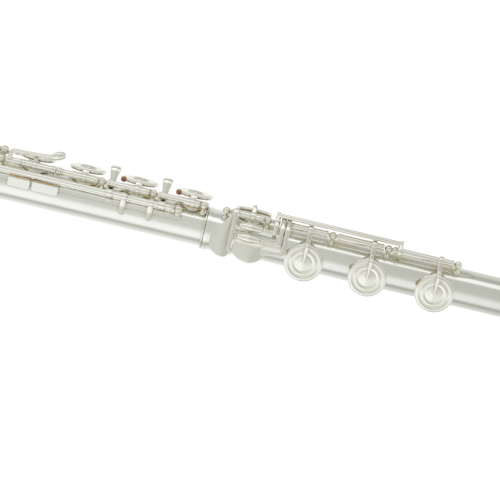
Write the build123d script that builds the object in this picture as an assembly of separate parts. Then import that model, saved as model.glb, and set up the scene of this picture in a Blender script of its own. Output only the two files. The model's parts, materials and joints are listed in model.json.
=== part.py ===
from build123d import *
import os
from math import cos, radians, sin

# Concert flute with a B foot, in millimetres.
# Frame: +X runs along the bore from the head to the foot; the origin is the centre of the foot's open end.
# +Z points out of the line of finger keys, and -Y is the player's side, where the hinge rods run.
# Angles round the tube are degrees from +Z towards the player.

# Tube
BORE_R = 9.5
TUBE_R = 9.9
SOCKET_R = 10.75
RING_R = 11.2
SLIP = 0.04

# Stations along the tube
FOOT_MOUTH_X = -168.7
TENON_END_X = -155.0
SOCKET_END_X = -153.0
BODY_END_X = -490.0
HEAD_TENON_X = -493.0
BARREL_X = (-513.0, -478.0)
HEAD_TAPER_X = -520.0
HEAD_END_X = -706.0
CROWN_END_X = -716.0
EMBOUCHURE_X = -640.0
CORK_X = (-668.5, -657.5)

# Tone hole chimneys and key cups, as heights from the tube's axis
RIM_Z = 12.8
CHIMNEY_WALL = 0.4
RIM_ROLL = 0.65
PAD_GAP = 0.08
SKIRT_Z = 13.25
PAD_TOP_Z = 14.2
CUP_TOP_Z = 14.95
DOME_Z = 15.4
CUP_WALL = 0.5
CUP_EDGE = 0.55
CUP_SWELL = 0.02
GROOVE_DEPTH = 0.4
PLATE = 1.3
PAD_EDGE = 0.3

ARM_THICKNESS = 1.6

# Hinge rods: distance from the tube's axis and angle round it
MAIN = (15.5, 46.0)
TRILL = (15.5, 68.0)
OFFSET_G = (16.5, 22.5)
G_SHARP = (15.5, -66.0)
THUMB = (15.5, 206.0)
FOOT = (15.5, 45.0)

STEEL_R = 1.0
HINGE_BORE_R = 1.05
HINGE_R = 1.75
TRILL_HINGE_R = 1.5
TRILL_STEEL_R = 0.8
EYE_R = 2.6
EYE_HALF = 1.7
RIB_R = 10.8
STEM_R = 1.3
BALL_R = 2.25
BIG_BALL_R = 2.6
FLANGE = 0.6
FLANGE_HEIGHT = 0.9
POINT_R = 0.35
PIVOT_R = 0.6
CLEARANCE = 0.05
OPEN_ANGLE = 9.0
FINGER_HOLE_R = 3.7

# How far a cutting shape runs past what it cuts
CUT = 2.0

# Key name: station, angle round the tube, hole radius, cup radius
HOLES = {
    "d": (-178.0, 0.0, 7.7, 9.4),
    "e": (-207.0, 0.0, 7.7, 9.5),
    "f": (-234.8, 0.0, 7.7, 9.5),
    "f_sharp": (-261.0, 0.0, 7.7, 9.2),
    "g_lower": (-285.7, -17.5, 7.6, 9.2),
    "g_upper": (-308.9, -17.5, 7.6, 9.2),
    "g_sharp": (-286.0, -115.0, 7.0, 8.6),
    "a": (-330.8, 0.0, 7.0, 8.6),
    "b_flat": (-351.5, 0.0, 7.0, 8.6),
    "thumb_b": (-371.0, 160.0, 7.0, 8.6),
    "c": (-400.0, 0.0, 3.2, 5.0),
    "d_trill": (-416.0, 98.0, 3.6, 5.3),
    "d_sharp_trill": (-432.0, 98.0, 3.6, 5.3),
}
FOOT_HOLES = {
    "foot_d_sharp": (-146.3, -4.0, 7.9, 9.5),
    "foot_c_sharp": (-116.0, 117.5, 8.1, 10.0),
    "foot_c": (-82.6, 117.5, 8.1, 10.0),
    "foot_b": (-47.5, 117.5, 8.1, 10.0),
}
ALL_HOLES = {**HOLES, **FOOT_HOLES}


def around(radius, angle):
    """The y and z of a point at this distance from the tube's axis and angle round it."""
    return (-radius * sin(radians(angle)), radius * cos(radians(angle)))


def on_tube(x, angle):
    """The local frame at a station, with Z pointing out of the tube at an angle."""
    return Pos(X=x) * Rot(X=angle)


def bar(x0, x1, radius, at=(0.0, 0.0), bore=0.0):
    """A round bar or tube parallel to the flute."""
    y, z = at
    place = Pos((x0 + x1) / 2, y, z) * Rot(Y=90)
    solid = place * Cylinder(radius, abs(x1 - x0))
    if bore:
        solid -= place * Cylinder(bore, abs(x1 - x0) + CUT)
    return solid


def cone_bar(x0, x1, r0, r1):
    """A round bar on the tube's axis that tapers from r0 at x0 to r1 at x1."""
    outline = Polyline((x0, 0), (x1, 0), (x1, r1), (x0, r0), close=True)
    return revolve(Plane.XZ * make_face(outline), Axis.X)


def stack(low, high, radius, place):
    """A round disc between two heights of a local frame."""
    return place * Pos(Z=(low + high) / 2) * Cylinder(radius, high - low)


def ribbon(points, thickness, x, width, radius=1.2):
    """A bent strip that lies across the flute: its path is in y and z, its width along x."""
    path = FilletPolyline(*points, radius=radius) if len(points) > 2 else Polyline(*points)
    face = make_face(offset(path, thickness / 2, side=Side.BOTH))
    return extrude(Plane.YZ.offset(x - width / 2) * face, amount=width)


def turned(shape, rod, angle):
    """A shape turned about a hinge rod."""
    y, z = around(*rod)
    return Pos(0, y, z) * Rot(X=angle) * Pos(0, -y, -z) * shape


def local_rod(rod, angle):
    """The rod's y and z in the local frame at an angle round the tube."""
    y, z = around(rod[0], rod[1] - angle)
    return y, z


def side_of(rod, angle):
    """1 where the rod lies towards the player from the hole, else -1."""
    return 1 if rod[1] > angle else -1


def chimneys(names):
    """The drawn tone holes' walls with their rolled rims."""
    walls = []
    for name in names:
        x, angle, hole, _ = ALL_HOLES[name]
        place = on_tube(x, angle)
        walls.append(stack(BORE_R * 0.6, RIM_Z, hole + CHIMNEY_WALL, place))
        walls.append(stack(RIM_Z - RIM_ROLL, RIM_Z, hole + RIM_ROLL, place))
    return walls


def hole_tools(names, extra=0.0):
    """The cylinders that cut the tone holes, or the clear space round them."""
    tools = []
    for name in names:
        x, angle, hole, _ = ALL_HOLES[name]
        tools.append(stack(CUT, RIM_Z + CUT, hole + extra, on_tube(x, angle)))
    return tools


def holed_tube(x0, x1, names):
    """A length of the tube with its tone holes."""
    tube = bar(x0, x1, TUBE_R)
    for wall in chimneys(names):
        tube += wall
    tube -= bar(x0 - CUT, x1 + CUT, BORE_R)
    for tool in hole_tools(names):
        tube -= tool
    return tube


def rib(x0, x1, start, end, names=(), height=RIB_R):
    """The strap under the posts: a strip of the tube's curve from one angle to another."""
    inner = [around(TUBE_R, start), around(TUBE_R, (start + end) / 2), around(TUBE_R, end)]
    outer = [around(height, end), around(height, (start + end) / 2), around(height, start)]
    outline = ThreePointArc(*inner) + Line(inner[2], outer[0])
    outline += ThreePointArc(*outer) + Line(outer[2], inner[0])
    strap = extrude(Plane.YZ.offset(x0) * make_face(outline), amount=x1 - x0)
    for tool in hole_tools(names, RIM_ROLL + 3 * CLEARANCE):
        strap -= tool
    return strap


def tongue(x0, x1, start, end, height=RIB_R):
    """The pointed end of a strap: it narrows from x0 to a point at x1."""
    half = height * radians(end - start) / 2
    outline = Polyline((x0, -half), (x0, half))
    outline += ThreePointArc((x0, half), ((x0 + x1) / 2, half * 0.72), (x1, 0))
    outline += ThreePointArc((x1, 0), ((x0 + x1) / 2, -half * 0.72), (x0, -half))
    prism = extrude(make_face(outline), amount=height + CUT)
    return rib(x0, x1, start, end) & Rot(X=(start + end) / 2) * prism


def post(x, rod, bore=STEEL_R, ball=BALL_R, pointed=False, height=RIB_R):
    """A turned post: a waisted stem on the strap and a ball that holds the steel."""
    radius, angle = rod
    place = on_tube(x, angle)
    low, high = x - 2 * ball, x + 2 * ball
    shape = stack(TUBE_R - 1, radius, STEM_R, place)
    shape += stack(TUBE_R - 1, height + FLANGE_HEIGHT, STEM_R + FLANGE, place)
    shape += place * Pos(Z=radius) * Sphere(ball)
    if pointed:
        shape += place * Pos(Z=radius + ball) * Cone(ball * 0.75, POINT_R, ball * 1.1)
    shape -= bar(low, high, height)
    shape -= bar(low, high, bore, around(*rod))
    return shape


def cup(radius, finger_hole=0.0, grooved=True):
    """A key cup standing on its tone hole in the local frame, hollow below for its pad."""
    groove_z = CUP_TOP_Z - (GROOVE_DEPTH if grooved else 0.0)
    outline = Polyline(
        (0, SKIRT_Z),
        (radius - CUP_EDGE / 4, SKIRT_Z),
        (radius, SKIRT_Z + CUP_EDGE / 4),
        (radius, CUP_TOP_Z - CUP_EDGE),
        (radius - CUP_EDGE, CUP_TOP_Z),
        (radius * 0.76, CUP_TOP_Z + CUP_SWELL),
        (radius * 0.72, groove_z),
        (radius * 0.54, groove_z),
        (radius * 0.5, CUP_TOP_Z + 2 * CUP_SWELL),
        (0, DOME_Z),
        close=True,
    )
    shell = revolve(Plane.XZ * make_face(outline), Axis.Z)
    shell -= stack(SKIRT_Z - CUT, PAD_TOP_Z, radius - CUP_WALL, Pos())
    if finger_hole:
        shell += stack(SKIRT_Z, PAD_TOP_Z + CUP_WALL / 5, finger_hole + CUP_WALL, Pos())
        shell -= stack(SKIRT_Z - CUT, DOME_Z + CUT, finger_hole, Pos())
    return shell


def pad(radius, finger_hole=0.0):
    """The felt and skin pad that fills a cup."""
    disc = stack(RIM_Z + PAD_GAP, PAD_TOP_Z, radius - CUP_WALL, Pos())
    disc = fillet(disc.edges().sort_by(Axis.Z)[0], PAD_EDGE)
    if finger_hole:
        disc -= stack(RIM_Z - CUT, PAD_TOP_Z + CUT, finger_hole + CUP_WALL, Pos())
    return disc


def pointed_arm(rod, angle, cup_r, width=3.4):
    """The French arm: it rises from the rod, crosses the cup's rim and ends in a point at the centre."""
    y, z = local_rod(rod, angle)
    side = 1 if y > 0 else -1
    top = DOME_Z + ARM_THICKNESS / 4
    path = [(y, z), (side * (cup_r + 0.3), top), (-side * 0.6, top)]
    shape = ribbon(path, ARM_THICKNESS, 0, width, 2.0)
    root = side * (abs(y) + EYE_R + CUT)
    tip = -side * ARM_THICKNESS
    half = width / 2
    outline = [(-half, root), (half, root), (half, y), (POINT_R, tip), (-POINT_R, tip), (-half, y)]
    return shape & extrude(make_face(Polyline(*outline, close=True)), amount=2 * DOME_Z)


def side_arm(rod, angle, cup_r, width=5.0):
    """The short arm of a finger cup, soldered to its skirt."""
    y, z = local_rod(rod, angle)
    side = 1 if y > 0 else -1
    middle = (SKIRT_Z + CUP_TOP_Z) / 2
    path = [(y, z), (side * (cup_r + 0.9), middle), (side * (cup_r - 0.3), middle)]
    return ribbon(path, ARM_THICKNESS, 0, width, 0.5)


def key(name, rod, tube, pointed=True, finger_hole=0.0, cups=(), eye=HINGE_R, levers=(), is_open=True):
    """One key and its pads at rest: the hinge tube, an arm and cup for each hole, and any levers."""
    metal = bar(*tube, HINGE_R, around(*rod))
    pads = []
    cavities = []
    for hole in cups or (name,):
        x, angle, _, cup_r = ALL_HOLES[hole]
        place = on_tube(x, angle)
        drilled = finger_hole if hole != "g_upper" else 0.0
        with_point = pointed or hole == "g_upper"
        arm = pointed_arm(rod, angle, cup_r) if with_point else side_arm(rod, angle, cup_r)
        inside = stack(SKIRT_Z - CUT, PAD_TOP_Z, cup_r - CUP_WALL, Pos())
        metal += place * (arm - inside)
        metal += place * cup(cup_r, drilled)
        metal += bar(x - EYE_HALF, x + EYE_HALF, eye, around(*rod))
        if drilled:
            cavities.append(stack(SKIRT_Z - CUT, DOME_Z + CUT, drilled, place))
        pads.append(place * pad(cup_r, drilled))
    for lever in levers:
        metal += lever
    for tool in cavities:
        metal -= tool
    metal -= bar(tube[0] - CUT, tube[1] + CUT, HINGE_BORE_R, around(*rod))
    first = (cups or (name,))[0]
    angle = OPEN_ANGLE * side_of(rod, ALL_HOLES[first][1]) if is_open else 0.0
    return turned(metal, rod, angle), turned(Compound(pads) if len(pads) > 1 else pads[0], rod, angle)


def touch_outline(points, y0, y1):
    """A prism seen from the player's side: its outline is in x and z."""
    face = make_face(Polyline(*points, close=True))
    return extrude(Plane.XZ.offset(-y1) * face, amount=y1 - y0)


parts = {}

# Body
body_tube = holed_tube(BODY_END_X, TENON_END_X - 0.2, HOLES)
parts["body_tube"] = body_tube
end_ring = bar(FOOT_MOUTH_X - 1.4, FOOT_MOUTH_X - 0.2, RING_R, bore=TUBE_R)
for tool in hole_tools(["d"], RIM_ROLL + 2 * CLEARANCE):
    end_ring -= tool
parts["body_end_ring"] = end_ring
BARREL_R = 11.4
BARREL_RING_R = 12.0
BARREL_RING_HALF = 1.2
barrel = bar(*BARREL_X, BARREL_R)
for x in BARREL_X:
    barrel += bar(x - BARREL_RING_HALF, x + BARREL_RING_HALF, BARREL_RING_R)
barrel -= bar(BARREL_X[0] - CUT, BODY_END_X, TUBE_R + SLIP)
barrel -= bar(BODY_END_X - CUT, BARREL_X[1] + CUT, TUBE_R)
parts["barrel"] = barrel

lower_rib = rib(-280.5, -182.5, 38, 87, HOLES)
lower_rib += rib(-183.0, -170.6, 38, 56, HOLES)
upper_rib = rib(-444.0, -281.0, 38, 87, HOLES)
offset_g_rib = rib(-320.0, -276.0, 13, 37.9, HOLES)
g_sharp_rib = rib(-302.0, -255.0, -74, -58, HOLES)
thumb_rib = rib(-384.0, -336.0, 198, 214, HOLES)

# Two bent plates hang from the strap below the trill rod
GUARD_PATH = [(-10.0, 3.8), (-12.1, 3.0), (-10.5, -2.0)]
GUARD_THICKNESS = 0.8
GUARD_HEIGHT = 8.0
GUARD_CORNER = 1.4
for guard_x, guard_width in ((-266.9, 11.4), (-253.2, 13.6)):
    corners = Pos(guard_x, GUARD_HEIGHT / 2 - 2.0) * RectangleRounded(guard_width, GUARD_HEIGHT, GUARD_CORNER)
    plate = ribbon(GUARD_PATH, GUARD_THICKNESS, guard_x, guard_width, 0.8)
    lower_rib += plate & extrude(Plane.XZ * corners, amount=2 * RIB_R)
parts["body_ribs"] = Compound([lower_rib, upper_rib, offset_g_rib, g_sharp_rib, thumb_rib])

MAIN_POSTS = (-172.0, -198.5, -225.4, -278.4, -363.6, -404.4)
parts["main_posts"] = Compound([post(x, MAIN, pointed=x in (-225.4, -198.5)) for x in MAIN_POSTS])
trill_posts = [post(x, TRILL, bore=TRILL_HINGE_R + CLEARANCE, ball=BIG_BALL_R) for x in (-281.8, -358.0)]
trill_posts += [post(x, TRILL, bore=PIVOT_R) for x in (-184.2, -440.2)]
parts["trill_posts"] = Compound(trill_posts)
parts["offset_g_posts"] = Compound([post(x, OFFSET_G, ball=BIG_BALL_R) for x in (-278.2, -317.2)])
parts["g_sharp_posts"] = Compound([post(x, G_SHARP) for x in (-299.0, -258.0)])
parts["thumb_posts"] = Compound([post(x, THUMB) for x in (-381.4, -338.6)])

steels = [
    bar(-280.4, -170.0, STEEL_R, around(*MAIN)),
    bar(-365.4, -280.6, STEEL_R, around(*MAIN)),
    bar(-406.4, -365.6, STEEL_R, around(*MAIN)),
    bar(-319.0, -276.8, STEEL_R, around(*OFFSET_G)),
    bar(-301.0, -256.0, STEEL_R, around(*G_SHARP)),
    bar(-383.4, -336.6, STEEL_R, around(*THUMB)),
    bar(-188.0, -182.4, PIVOT_R, around(*TRILL)),
    bar(-442.0, -436.6, PIVOT_R, around(*TRILL)),
]
parts["body_steels"] = Compound(steels)

# Keys of the lower stack
COLLAR_R = 2.3
clutch = bar(-252.6, -250.0, COLLAR_R, around(*MAIN))
parts["d_key"], parts["d_pad"] = key("d", MAIN, (-196.1, -174.4), pointed=False, finger_hole=FINGER_HOLE_R)
parts["e_key"], parts["e_pad"] = key("e", MAIN, (-223.0, -200.9), pointed=False, finger_hole=FINGER_HOLE_R)
parts["f_key"], parts["f_pad"] = key(
    "f",
    MAIN,
    (-249.6, -227.8),
    pointed=False,
    finger_hole=FINGER_HOLE_R,
    levers=[bar(-249.6, -247.2, COLLAR_R, around(*MAIN))],
)
parts["f_sharp_key"], parts["f_sharp_pad"] = key(
    "f_sharp",
    MAIN,
    (-267.6, -249.8),
    levers=[clutch],
)

# Side lever of the B flat key
LEVER_Y = -13.4
LEVER_WIDTH = 3.4
LEVER_HALF = 0.85
LEVER_BULB_R = 2.4
side_stem = ribbon([around(*MAIN), (LEVER_Y, 15.8)], 2 * LEVER_HALF, -272.8, 3.0)
side_path = FilletPolyline((-273.6, 15.9), (-252.0, 17.0), (-249.0, 18.8), radius=2.5)
side_face = make_face(offset(side_path, LEVER_HALF, side=Side.BOTH))
side_lever = extrude(Plane.XZ.offset(-LEVER_Y - LEVER_WIDTH / 2) * side_face, amount=LEVER_WIDTH)
side_lever += side_stem
side_lever += Pos(-249.8, LEVER_Y, 18.2) * Sphere(LEVER_BULB_R)
side_lever += bar(-276.0, -267.8, HINGE_R, around(*MAIN))
side_lever -= bar(-279.0, -264.0, HINGE_BORE_R, around(*MAIN))
parts["b_flat_side_lever"] = side_lever

# Keys of the upper stack
parts["g_key"], parts["g_pads"] = key(
    "g_lower",
    OFFSET_G,
    (-314.4, -281.4),
    pointed=False,
    finger_hole=FINGER_HOLE_R,
    cups=("g_lower", "g_upper"),
)
parts["a_key"], parts["a_pad"] = key("a", MAIN, (-340.8, -280.9), pointed=False, finger_hole=FINGER_HOLE_R)
parts["b_flat_key"], parts["b_flat_pad"] = key("b_flat", MAIN, (-361.2, -341.0))
C_TOUCH_X = -381.0
C_TOUCH_R = 7.0
c_touch = stack(DOME_Z, DOME_Z + PLATE, C_TOUCH_R, Pos(X=C_TOUCH_X))
c_arm = Pos(X=C_TOUCH_X) * side_arm(MAIN, 0, C_TOUCH_R + 1, width=4.0)
c_prop = stack(SKIRT_Z + CUP_WALL, DOME_Z + CUP_WALL, 2.0, Pos(C_TOUCH_X, 1 - C_TOUCH_R, 0))
parts["c_key"], parts["c_pad"] = key("c", MAIN, (-402.0, -366.0), levers=[c_touch, c_arm + c_prop])

# G sharp key: the cup is under the far side and the touch reaches up beside the F sharp cup
gs_y, gs_z = around(*G_SHARP)
gs_plate = ribbon([(gs_y, gs_z), (gs_y - 0.4, 14.6), (11.4, 15.2)], PLATE, -268.4, 13.4)
parts["g_sharp_key"], parts["g_sharp_pad"] = key(
    "g_sharp", G_SHARP, (-296.6, -260.4), levers=[gs_plate], is_open=False
)

# Thumb keys
th_y, th_z = around(*THUMB)
THUMB_WIDTH = 8.6
thumb_path = [(th_y, th_z), around(16.6, 190), around(16.4, 172), around(16.6, 150)]
thumb_touch = ribbon(thumb_path, PLATE, -357.5, THUMB_WIDTH)
parts["thumb_b_key"], parts["thumb_b_pad"] = key("thumb_b", THUMB, (-379.0, -353.0), levers=[thumb_touch])
thumb_b_flat = ribbon(thumb_path, PLATE, -346.6, THUMB_WIDTH)
thumb_b_flat += bar(-352.8, -341.0, HINGE_R, around(*THUMB))
thumb_b_flat -= bar(-355.0, -338.0, HINGE_BORE_R, around(*THUMB))
parts["thumb_b_flat_key"] = turned(thumb_b_flat, THUMB, OPEN_ANGLE)


def trill_touch(x):
    """The touch between two finger cups: its arm dips under the main rod and rises to a rounded head."""
    path = [around(*TRILL), around(12.9, 50), around(13.0, 36), (-6.0, 19.4), (1.5, 20.3)]
    strip = ribbon(path, 1.2, x, 5.4, 1.0)
    outline = Polyline((x - 1.5, 0), (x + 1.5, 0), (x + 1.7, 13), (x + 2.7, 17.4), (x + 2.7, 22))
    outline += Line((x + 2.7, 22), (x - 2.7, 22))
    outline += Polyline((x - 2.7, 22), (x - 2.7, 17.4), (x - 1.7, 13), (x - 1.5, 0))
    prism = extrude(Plane.XZ.offset(-3) * make_face(outline), amount=22)
    return strip & prism


def kicker(x):
    """The flat foot that hangs from a trill tube and rests on the body."""
    y, z = around(*TRILL)
    return ribbon([(y, z), (-12.4, 0.8), (-11.9, -3.7)], 0.9, x, 2.8)


def trill_key(name, tube, touch_x, kicker_x):
    """A trill key's tube, touch, kicker, arm and small cup."""
    x, angle, _, cup_r = HOLES[name]
    metal = bar(*tube, TRILL_HINGE_R, around(*TRILL))
    metal += trill_touch(touch_x)
    metal += kicker(kicker_x)
    metal += bar(touch_x - COLLAR_R, touch_x + COLLAR_R, COLLAR_R, around(*TRILL))
    metal += on_tube(x, angle) * pointed_arm(TRILL, angle, cup_r, width=2.8)
    metal += on_tube(x, angle) * cup(cup_r, grooved=False)
    return metal, on_tube(x, angle) * pad(cup_r)


parts["d_trill_key"], parts["d_trill_pad"] = trill_key("d_trill", (-419.4, -210.8), -220.5, -212.6)
parts["d_trill_key"] -= bar(-422.0, -208.0, TRILL_STEEL_R + CLEARANCE, around(*TRILL))
second, parts["d_sharp_trill_pad"] = trill_key("d_sharp_trill", (-210.6, -186.8), -193.0, -198.4)
second += bar(-437.6, -419.6, TRILL_HINGE_R, around(*TRILL))
second += bar(-420.0, -210.0, TRILL_STEEL_R, around(*TRILL))
for x in (-186.8, -437.6):
    second -= bar(x - CUT, x + CUT, PIVOT_R + CLEARANCE, around(*TRILL))
parts["d_sharp_trill_key"] = second

# Foot joint
foot_tube = holed_tube(TENON_END_X, 0.0, FOOT_HOLES)
parts["foot_tube"] = foot_tube
socket = bar(FOOT_MOUTH_X, SOCKET_END_X, SOCKET_R)
socket += bar(FOOT_MOUTH_X, FOOT_MOUTH_X + 2.0, RING_R)
socket -= bar(FOOT_MOUTH_X - CUT, TENON_END_X, TUBE_R + SLIP)
socket -= bar(TENON_END_X - CUT, SOCKET_END_X + CUT, TUBE_R)
for tool in hole_tools(FOOT_HOLES, RIM_ROLL + 2 * CLEARANCE):
    socket -= tool
parts["foot_socket"] = socket
parts["foot_end_ring"] = bar(-3.5, 0.0, 10.5, bore=TUBE_R)
FOOT_RIB = (34, 56)
FOOT_RIB_END_X = -36.5
foot_rib = rib(SOCKET_END_X, FOOT_RIB_END_X, *FOOT_RIB, FOOT_HOLES)
parts["foot_rib"] = foot_rib + tongue(FOOT_RIB_END_X, FOOT_RIB_END_X + 8.0, *FOOT_RIB)
foot_posts = [post(x, FOOT) for x in (-138.3, -104.3, -75.0, -38.4)]
foot_posts.append(post(-160.1, FOOT, height=SOCKET_R))
parts["foot_posts"] = Compound(foot_posts)
foot_steels = [bar(*span, STEEL_R, around(*FOOT)) for span in ((-162.0, -131.9), (-76.6, -36.6))]
parts["foot_steels"] = Compound(foot_steels)

# D sharp key of the foot: a see-saw, with its cup on the far side of the rod and a spatula over the socket
foot_y, foot_z = around(*FOOT)
spatula_path = [(-14.6, 14.0), (-14.9, 10.4), (-16.8, -13.4)]
spatula = ribbon(spatula_path, 1.1, -160.9, 15.4)
spatula_outline = Polyline((-154.6, 13.2), (-156.4, 12.4), (-158.4, 7.6))
spatula_outline += Polyline((-158.4, 7.6), (-162.4, 3.6), (-165.2, -2.0), (-165.6, -5.0))
spatula_outline += ThreePointArc((-165.6, -5.0), (-161.6, -11.8), (-155.4, -12.6))
spatula_outline += Polyline((-155.4, -12.6), (-153.8, -10.0), (-153.8, 12.0), (-154.6, 13.2))
spatula &= extrude(Plane.XZ.offset(8) * make_face(spatula_outline), amount=14)
spine = ribbon([(foot_y, foot_z), (-15.8, 11.4), (-17.9, -8.6)], 1.8, -155.0, 2.8)
parts["foot_d_sharp_key"], parts["foot_d_sharp_pad"] = key(
    "foot_d_sharp", FOOT, (-157.4, -140.8), eye=EYE_R, levers=[spatula, spine], is_open=False
)


LEVER_EYE_R = 2.9


def drop(x, ends, width=2.5):
    """A lever arm of the foot: an eye on the rod and a strip that hangs in front of it."""
    eye = bar(x - width / 2, x + width / 2, LEVER_EYE_R, around(*FOOT))
    return eye + ribbon([around(*FOOT), *ends], ARM_THICKNESS, x, width, ARM_THICKNESS)


ROLLER_R = 2.25
ROLLER_LENGTH = 12.2
ROLLER_X = -146.0
AXLE_R = 0.7
AXLE_HEAD = 0.8
AXLE_COLLAR_R = 1.3
B_AXLE = (-15.3, 5.2)
C_AXLE = (-17.0, -0.35)
ROLLER_GAP = 0.25


def axle(lever_x, at):
    """A roller's axle with a collar at each end, carried by its lever."""
    low = ROLLER_X - ROLLER_LENGTH / 2 - ROLLER_GAP
    high = ROLLER_X + ROLLER_LENGTH / 2 + ROLLER_GAP
    return [
        bar(low - AXLE_HEAD, lever_x, AXLE_R, at),
        bar(low - AXLE_HEAD, low, AXLE_COLLAR_R, at),
        bar(high, lever_x, AXLE_COLLAR_R, at),
    ]


def roller(at):
    """A barrel-shaped roller on its axle."""
    y, z = at
    half = ROLLER_LENGTH / 2
    edge = ROLLER_R * 0.55
    outline = Polyline((half, edge), (half, 0), (-half, 0), (-half, edge))
    outline += ThreePointArc((-half, edge), (0, ROLLER_R), (half, edge))
    solid = Pos(ROLLER_X, y, z) * revolve(Plane.XZ * make_face(outline), Axis.X)
    return solid - bar(ROLLER_X - half - CUT, ROLLER_X + half + CUT, AXLE_R + CLEARANCE, at)


# B key: its lever, the bridge over the other keys' tubes, and its cup
BRIDGE = (-12.8, 14.8)
BRIDGE_R = 1.2
B_LEVER_X = -133.5
BRIDGE_END_X = -69.2
bridge = [
    bar(B_LEVER_X - BRIDGE_R, BRIDGE_END_X + BRIDGE_R, BRIDGE_R, BRIDGE),
    ribbon([around(*FOOT), BRIDGE], 2.2, B_LEVER_X, 2 * BRIDGE_R),
    ribbon([around(*FOOT), BRIDGE], 2.2, BRIDGE_END_X, 2 * BRIDGE_R),
    bar(BRIDGE_END_X - BRIDGE_R, BRIDGE_END_X + BRIDGE_R, EYE_R, around(*FOOT)),
]
b_lever = drop(B_LEVER_X, [(-14.8, 8.6), B_AXLE])
b_parts = [b_lever, *bridge, *axle(B_LEVER_X, B_AXLE)]
c_lever = drop(-130.2, [(-15.4, 8.2), C_AXLE])
c_parts = [c_lever, *axle(-130.2, C_AXLE)]

b_metal, parts["foot_b_pad"] = key("foot_b", FOOT, (-72.6, -40.8), eye=EYE_R)
for piece in b_parts:
    b_metal += piece
b_metal -= bar(-140.0, -60.0, HINGE_BORE_R, around(*FOOT))
parts["foot_b_key"] = b_metal

# C key: its lever turns the steel that runs inside the C sharp key's tube
c_metal, parts["foot_c_pad"] = key("foot_c", FOOT, (-101.8, -77.4), eye=EYE_R)
for piece in c_parts:
    c_metal += piece
c_metal += bar(-131.45, -77.4, STEEL_R, around(*FOOT))
c_metal += bar(-101.8, -77.4, HINGE_BORE_R, around(*FOOT))
parts["foot_c_key"] = c_metal

# C sharp key with its flat paddle
paddle_arm = drop(-127.4, [(-15.6, 8.0), (-17.6, -2.2), (-17.75, -5.4)])
paddle_bar = touch_outline([(-140.0, -3.6), (-126.2, -3.6), (-126.2, -5.8), (-138.0, -7.4)], -18.4, -17.2)
paddle_outline = Polyline((-152.4, -3.4), (-136.0, -3.4), (-135.4, -5.6))
paddle_outline += ThreePointArc((-135.4, -5.6), (-143.8, -12.9), (-153.0, -8.6))
paddle_outline += Line((-153.0, -8.6), (-152.4, -3.4))
paddle = extrude(Plane.XZ.offset(17.2) * make_face(paddle_outline), amount=1.2)
cs_metal, parts["foot_c_sharp_pad"] = key("foot_c_sharp", FOOT, (-128.6, -106.7), eye=EYE_R)
for piece in (paddle_arm, paddle_bar, paddle):
    cs_metal += piece
cs_metal -= bar(-132.0, -104.0, HINGE_BORE_R, around(*FOOT))
parts["foot_c_sharp_key"] = cs_metal
parts["foot_b_roller"] = roller(B_AXLE)
parts["foot_c_roller"] = roller(C_AXLE)

# Needle springs
SPRING_R = 0.3
SPRING_LENGTH = 13.0


def spring(x, toward, rod, radius=12.1):
    """A needle spring pressed into a post and running along its rod's inner side."""
    start = x + toward * (STEM_R - 0.4)
    return bar(start, start + toward * SPRING_LENGTH, SPRING_R, around(radius, rod[1]))


parts["body_springs"] = Compound(
    [spring(-172.0, -1, MAIN), spring(-198.5, -1, MAIN), spring(-225.4, -1, MAIN), spring(-278.4, 1, MAIN)]
)
parts["foot_springs"] = Compound(
    [spring(-138.3, 1, FOOT), spring(-104.3, 1, FOOT), spring(-75.0, 1, FOOT), spring(-38.4, -1, FOOT)]
)

# Head joint
HEAD_TIP_R = 8.9
HEAD_WALL = 0.4
head = bar(HEAD_TAPER_X, HEAD_TENON_X, TUBE_R)
head += cone_bar(HEAD_END_X, HEAD_TAPER_X, HEAD_TIP_R, TUBE_R)
inside = bar(HEAD_TAPER_X, HEAD_TENON_X + 1, BORE_R)
inside += cone_bar(HEAD_END_X, HEAD_TAPER_X, HEAD_TIP_R - HEAD_WALL, BORE_R)
head -= inside
HOLE_HALF = (6.1, 5.2)
RISER_TOP = 14.4
PLATE_TOP = 15.2
HOLE_CORNER = 4.2
RISER_WALL = 1.2


def riser_prism(grow):
    """A rounded oblong prism round the embouchure hole, larger than it by grow on every side."""
    oblong = RectangleRounded(2 * (HOLE_HALF[0] + grow), 2 * (HOLE_HALF[1] + grow), HOLE_CORNER + grow)
    return extrude(oblong, amount=RISER_TOP + CUT)


riser_hole = riser_prism(0)
riser_wall = riser_prism(RISER_WALL)
at_hole = Pos(X=EMBOUCHURE_X)
head -= at_hole * riser_hole
parts["head_tube"] = head
plate = at_hole * extrude(Ellipse(31.0, 13.6), amount=PLATE_TOP + 2)
plate &= bar(EMBOUCHURE_X - 40, EMBOUCHURE_X + 40, PLATE_TOP, bore=RISER_TOP)
solid_head = cone_bar(HEAD_END_X, HEAD_TAPER_X, HEAD_TIP_R, TUBE_R)
riser = (at_hole * riser_wall & bar(EMBOUCHURE_X - 40, EMBOUCHURE_X + 40, RISER_TOP)) - solid_head
parts["lip_plate"] = plate + riser - at_hole * riser_hole
crown = bar(CROWN_END_X + 3, HEAD_END_X, 9.5)
crown += cone_bar(CROWN_END_X, CROWN_END_X + 3, 6.5, 9.5)
crown += bar(HEAD_END_X, HEAD_END_X + 9, HEAD_TIP_R - HEAD_WALL - CLEARANCE)
SCREW_R = 1.6
STOPPER_PLATE = 1.0
STOPPER_PLATE_R = 7.6
crown -= bar(HEAD_END_X - 6, HEAD_END_X + 10, SCREW_R + CLEARANCE)
parts["crown"] = crown
stopper_screw = bar(HEAD_END_X - 4, CORK_X[0] - STOPPER_PLATE, SCREW_R)
stopper_screw += bar(CORK_X[0] - STOPPER_PLATE, CORK_X[0], STOPPER_PLATE_R)
stopper_screw += bar(CORK_X[1], CORK_X[1] + STOPPER_PLATE, STOPPER_PLATE_R)
parts["stopper_screw"] = stopper_screw
parts["stopper_cork"] = bar(*CORK_X, 8.5)

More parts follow.
